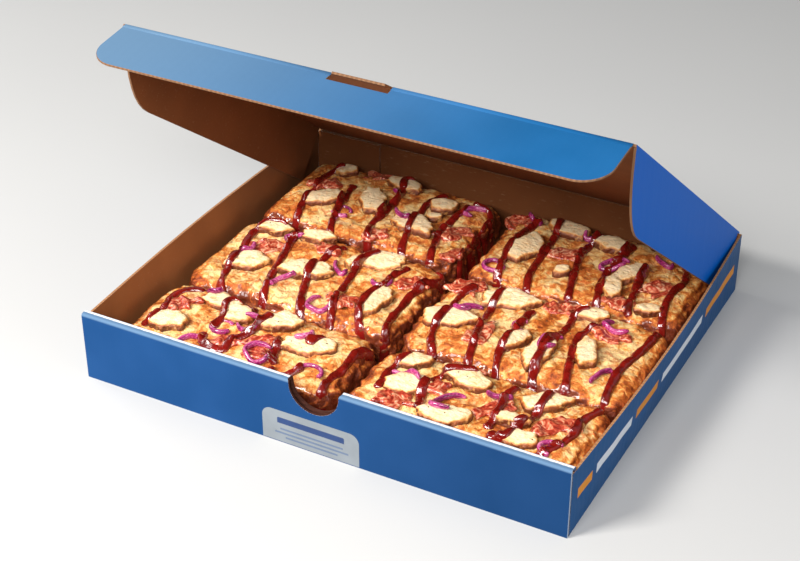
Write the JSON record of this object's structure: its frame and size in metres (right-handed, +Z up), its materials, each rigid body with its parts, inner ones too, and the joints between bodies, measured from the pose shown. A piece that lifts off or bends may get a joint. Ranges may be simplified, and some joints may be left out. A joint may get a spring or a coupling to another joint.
{
  "type": "boxed pizza",
  "caption": "Shallow folded-board pizza box with its lid part open, holding a rectangular pizza cut into slices and topped with chicken, bacon, red onion and sauce.",
  "frame": {"origin": "middle of the box's underside", "axes": "+X along the front wall to its right end, +Y from the front wall to the hinge, +Z up"},
  "size_m": [0.37, 0.318, 0.2405],
  "materials": {
    "tray_board": "blue print outside, brown board inside",
    "lid_board": "blue print outside, brown board inside",
    "flap_board": "lighter blue print outside, brown board inside",
    "pizza": "baked golden cheese and dough with browned spots and a thin oily shine",
    "chicken": "pale cream cut faces with browned edges",
    "bacon": "pink-red cured meat with pale fat",
    "onion": "purple skin over pale pink flesh, moist"
  },
  "bodies": {
    "tray": {"tray": "tray_board", "slice_front_left": "pizza", "slice_front_right": "pizza", "slice_middle_left": "pizza", "slice_middle_right": "pizza", "slice_rear_left": "pizza", "slice_rear_right": "pizza", "chicken_01": "chicken", "chicken_02": "chicken", "chicken_03": "chicken", "chicken_04": "chicken", "chicken_05": "chicken", "chicken_06": "chicken", "chicken_07": "chicken", "chicken_08": "chicken", "chicken_09": "chicken", "chicken_10": "chicken", "chicken_11": "chicken", "chicken_12": "chicken", "chicken_13": "chicken", "chicken_14": "chicken", "chicken_15": "chicken", "chicken_16": "chicken", "chicken_17": "chicken", "chicken_18": "chicken", "chicken_19": "chicken", "chicken_20": "chicken", "chicken_21": "chicken", "chicken_22": "chicken", "chicken_23": "chicken", "chicken_24": "chicken", "chicken_25": "chicken", "chicken_26": "chicken", "chicken_27": "chicken", "chicken_28": "chicken", "chicken_29": "chicken", "bacon_01": "bacon", "bacon_02": "bacon", "bacon_03": "bacon", "bacon_04": "bacon", "bacon_05": "bacon", "bacon_06": "bacon", "bacon_07": "bacon", "bacon_08": "bacon", "bacon_09": "bacon", "bacon_10": "bacon", "bacon_11": "bacon", "bacon_12": "bacon", "bacon_13": "bacon", "bacon_14": "bacon", "bacon_15": "bacon", "onion_01": "onion", "onion_02": "onion", "onion_03": "onion", "onion_04": "onion", "onion_05": "onion", "onion_06": "onion", "onion_07": "onion"},
    "lid": {"lid": "lid_board"},
    "front_flap": {"lid_front_flap": "flap_board"}
  },
  "joints": [
    {"name": "lid_hinge", "type": "hinge", "parent": "tray", "child": "lid", "pos_m": [0, 0.1582, 0.0493], "axis": [-1, 0, 0], "range_deg": [-36.5, 25.5]},
    {"name": "front_flap_crease", "type": "hinge", "parent": "lid", "child": "front_flap", "pos_m": [0, -0.08681, 0.23594], "axis": [1, 0, 0], "range_deg": [-44, 63]}
  ],
  "couplings": [
    {"joint": "front_flap_crease", "follows": "lid_hinge", "ratio": -1.72}
  ]
}
